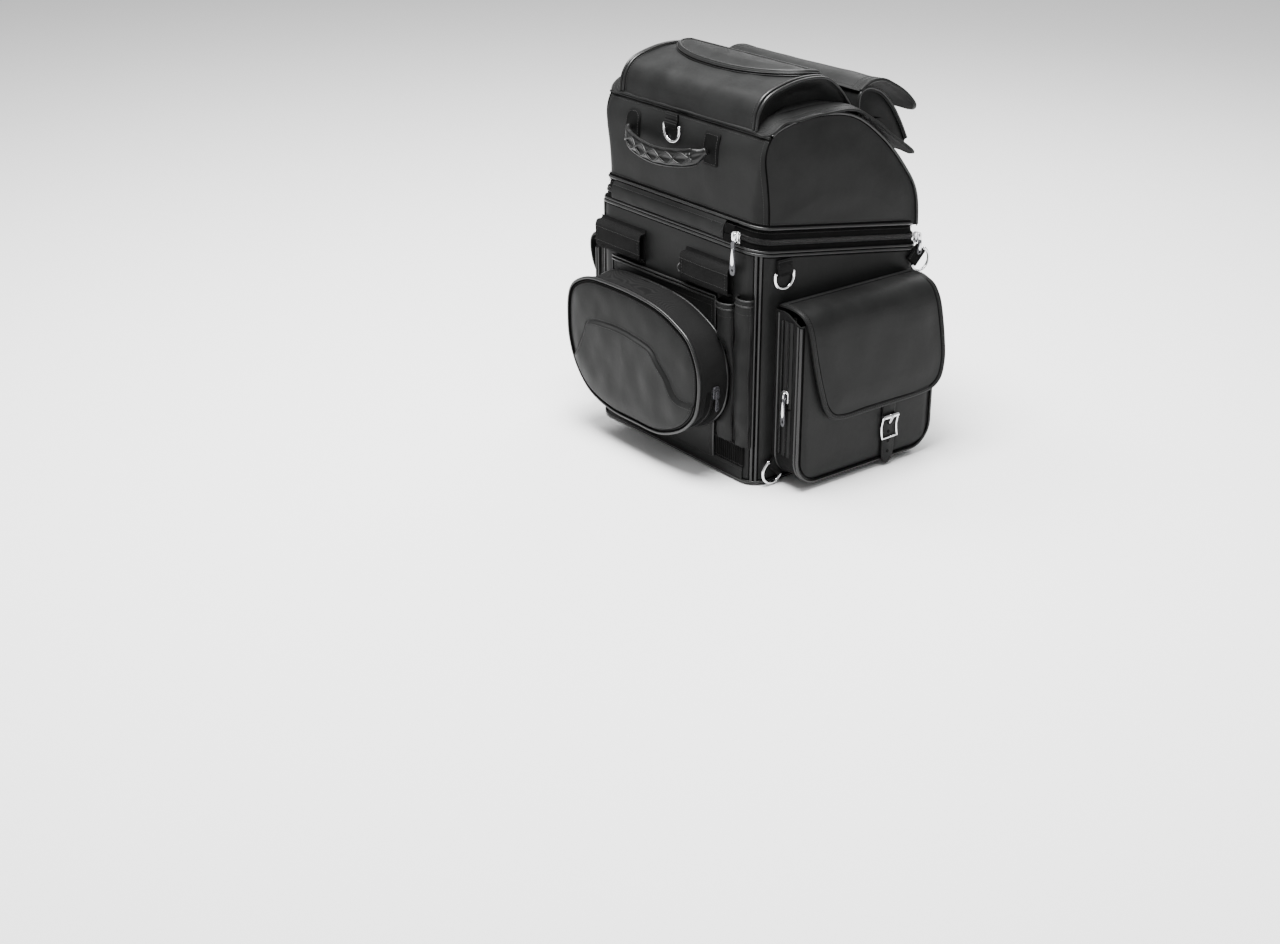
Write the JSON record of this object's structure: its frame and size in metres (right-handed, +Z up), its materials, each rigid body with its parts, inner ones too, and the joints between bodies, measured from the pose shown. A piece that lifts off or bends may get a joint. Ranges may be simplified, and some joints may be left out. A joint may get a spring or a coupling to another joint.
{
  "type": "motorcycle tail bag",
  "caption": "Soft black leather luggage bag for a passenger seat, with zipped domed lid, top roll, round front pouch, buckled side pockets, carry handle and tie-down rings.",
  "frame": {"origin": "centre of the base, on the ground", "axes": "+Z up, -Y towards the rider, +Y towards the backrest, +X to the bag's side seen with the rider side on its left"},
  "size_m": [0.4904, 0.392, 0.574],
  "materials": {
    "leather": "soft semi-gloss pebbled black leather",
    "leather_piping": "smoother, slightly glossier rolled leather cord",
    "padded_leather": "soft padded black leather",
    "webbing": "ribbed woven webbing",
    "zip_tape": "woven zip tape",
    "zip_coil": "moulded coil",
    "chrome": "polished, lightly scuffed",
    "board": "stiff sheet",
    "elastic": "ribbed elastic cloth"
  },
  "bodies": {
    "main_bag": {"front_panel": "leather", "rear_panel": "leather", "right_side_panel": "leather", "left_side_panel": "leather", "base_panel": "leather", "base_board": "board", "body_piping": "leather_piping", "zip_tape_lower": "zip_tape", "zip_teeth_lower": "zip_coil", "hinge_strip": "leather", "front_slip_pocket": "leather", "pen_sleeves": "leather", "elastic_patch": "elastic", "webbing_loops": "webbing", "pouch_core": "padded_leather", "pouch_face": "padded_leather", "pocket_shell_right": "leather", "pocket_shell_left": "leather", "pocket_piping": "leather_piping", "pocket_zip_tapes": "zip_tape", "ring_tabs": "webbing"},
    "lid": {"lid_front_panel": "leather", "lid_crown_panel": "leather", "lid_side_panels": "leather", "lid_piping": "leather_piping", "lid_strip": "leather", "zip_tape_upper": "zip_tape", "zip_teeth_upper": "zip_coil", "apron": "leather", "roll_shell": "padded_leather", "top_bag_piping": "leather_piping", "rear_pocket": "padded_leather", "lid_tabs": "webbing"},
    "roll_cover": {"roll_cover": "padded_leather"},
    "top_flap": {"top_flap": "leather"},
    "handle": {"handle": "padded_leather"},
    "lid_ring": {"lid_ring": "chrome"},
    "ring_front_top_right": {"ring_front_top_right": "chrome"},
    "ring_rear_top_right": {"ring_rear_top_right": "chrome"},
    "ring_front_bottom_right": {"ring_front_bottom_right": "chrome"},
    "ring_front_top_left": {"ring_front_top_left": "chrome"},
    "ring_rear_top_left": {"ring_rear_top_left": "chrome"},
    "ring_front_bottom_left": {"ring_front_bottom_left": "chrome"},
    "pocket_slider_right": {"pocket_slider_right": "chrome"},
    "flap_right": {"pocket_flap_right": "leather", "flap_strap_right": "leather", "buckle_frame_right": "chrome"},
    "buckle_roller_right": {"buckle_roller_right": "chrome"},
    "buckle_prong_right": {"buckle_prong_right": "chrome"},
    "pocket_slider_left": {"pocket_slider_left": "chrome"},
    "flap_left": {"pocket_flap_left": "leather", "flap_strap_left": "leather", "buckle_frame_left": "chrome"},
    "buckle_roller_left": {"buckle_roller_left": "chrome"},
    "buckle_prong_left": {"buckle_prong_left": "chrome"},
    "pouch_slider": {"pouch_slider": "chrome"},
    "slider_front": {"slider_front": "chrome"},
    "pull_front": {"pull_front": "chrome"},
    "slider_rear": {"slider_rear": "chrome"},
    "pull_rear": {"pull_rear": "chrome"}
  },
  "joints": [
    {"name": "lid_hinge", "type": "hinge", "parent": "main_bag", "child": "lid", "pos_m": [0, -0.158, 0.372], "axis": [1, 0, 0], "range_deg": [0, 100]},
    {"name": "roll_cover_hinge", "type": "hinge", "parent": "lid", "child": "roll_cover", "pos_m": [0, -0.016, 0.5602], "axis": [-1, 0, 0], "range_deg": [0, 82]},
    {"name": "top_flap_hinge", "type": "hinge", "parent": "lid", "child": "top_flap", "pos_m": [0, 0.051, 0.534], "axis": [1, 0, 0], "range_deg": [0, 115]},
    {"name": "handle_hinge", "type": "hinge", "parent": "lid", "child": "handle", "pos_m": [-0.019, -0.156, 0.472], "axis": [-1, 0, 0], "range_deg": [0, 90]},
    {"name": "lid_ring_hinge", "type": "hinge", "parent": "lid", "child": "lid_ring", "pos_m": [-0.016, -0.1499, 0.484], "axis": [-1, 0, 0], "range_deg": [0, 95]},
    {"name": "ring_front_top_hinge_right", "type": "hinge", "parent": "main_bag", "child": "ring_front_top_right", "pos_m": [0.1829, -0.11, 0.312], "axis": [0, -1, 0], "range_deg": [0, 100]},
    {"name": "ring_rear_top_hinge_right", "type": "hinge", "parent": "main_bag", "child": "ring_rear_top_right", "pos_m": [0.1829, 0.15, 0.283], "axis": [0, -0.7071, -0.7071], "range_deg": [0, 100]},
    {"name": "ring_front_bottom_hinge_right", "type": "hinge", "parent": "main_bag", "child": "ring_front_bottom_right", "pos_m": [0.1873, -0.122, 0.024], "axis": [0, -0.7071, 0.7071], "range_deg": [0, 90]},
    {"name": "ring_front_top_hinge_left", "type": "hinge", "parent": "main_bag", "child": "ring_front_top_left", "pos_m": [-0.1829, -0.11, 0.312], "axis": [0, 1, 0], "range_deg": [0, 100]},
    {"name": "ring_rear_top_hinge_left", "type": "hinge", "parent": "main_bag", "child": "ring_rear_top_left", "pos_m": [-0.1829, 0.15, 0.283], "axis": [0, 0.7071, 0.7071], "range_deg": [0, 100]},
    {"name": "ring_front_bottom_hinge_left", "type": "hinge", "parent": "main_bag", "child": "ring_front_bottom_left", "pos_m": [-0.1873, -0.122, 0.024], "axis": [0, 0.7071, -0.7071], "range_deg": [0, 90]},
    {"name": "pocket_slider_slide_right", "type": "slide", "parent": "main_bag", "child": "pocket_slider_right", "axis": [0, 0, 1], "range_m": [-0.035, 0.09]},
    {"name": "flap_hinge_right", "type": "hinge", "parent": "main_bag", "child": "flap_right", "pos_m": [0.1827, 0, 0.2701], "axis": [0, -1, 0], "range_deg": [0, 48]},
    {"name": "buckle_roller_spin_right", "type": "hinge", "parent": "flap_right", "child": "buckle_roller_right", "pos_m": [0.2418, 0.052, 0.078], "axis": [0, 1, 0], "continuous": true},
    {"name": "buckle_prong_hinge_right", "type": "hinge", "parent": "flap_right", "child": "buckle_prong_right", "pos_m": [0.2418, 0.052, 0.078], "axis": [0, -1, 0], "range_deg": [0, 120]},
    {"name": "pocket_slider_slide_left", "type": "slide", "parent": "main_bag", "child": "pocket_slider_left", "axis": [0, 0, 1], "range_m": [-0.035, 0.09]},
    {"name": "flap_hinge_left", "type": "hinge", "parent": "main_bag", "child": "flap_left", "pos_m": [-0.1827, 0, 0.2701], "axis": [0, 1, 0], "range_deg": [0, 48]},
    {"name": "buckle_roller_spin_left", "type": "hinge", "parent": "flap_left", "child": "buckle_roller_left", "pos_m": [-0.2418, 0.052, 0.078], "axis": [0, 1, 0], "continuous": true},
    {"name": "buckle_prong_hinge_left", "type": "hinge", "parent": "flap_left", "child": "buckle_prong_left", "pos_m": [-0.2418, 0.052, 0.078], "axis": [0, 1, 0], "range_deg": [0, 120]},
    {"name": "pouch_slider_slide", "type": "slide", "parent": "main_bag", "child": "pouch_slider", "axis": [0, 0, 1], "range_m": [-0.03, 0.02]},
    {"name": "slider_front_slide", "type": "slide", "parent": "main_bag", "child": "slider_front", "axis": [1, 0, 0], "range_m": [-0.002, 0.006]},
    {"name": "pull_front_hinge", "type": "hinge", "parent": "slider_front", "child": "pull_front", "pos_m": [0.139, -0.1663, 0.356], "axis": [-1, 0, 0], "range_deg": [0, 88]},
    {"name": "slider_rear_slide", "type": "slide", "parent": "main_bag", "child": "slider_rear", "axis": [0, -0.9882, 0.1532], "range_m": [0, 0.25]},
    {"name": "pull_rear_hinge", "type": "hinge", "parent": "slider_rear", "child": "pull_rear", "pos_m": [0.1903, 0.144, 0.3126], "axis": [0, -1, 0], "range_deg": [0, 120]}
  ]
}
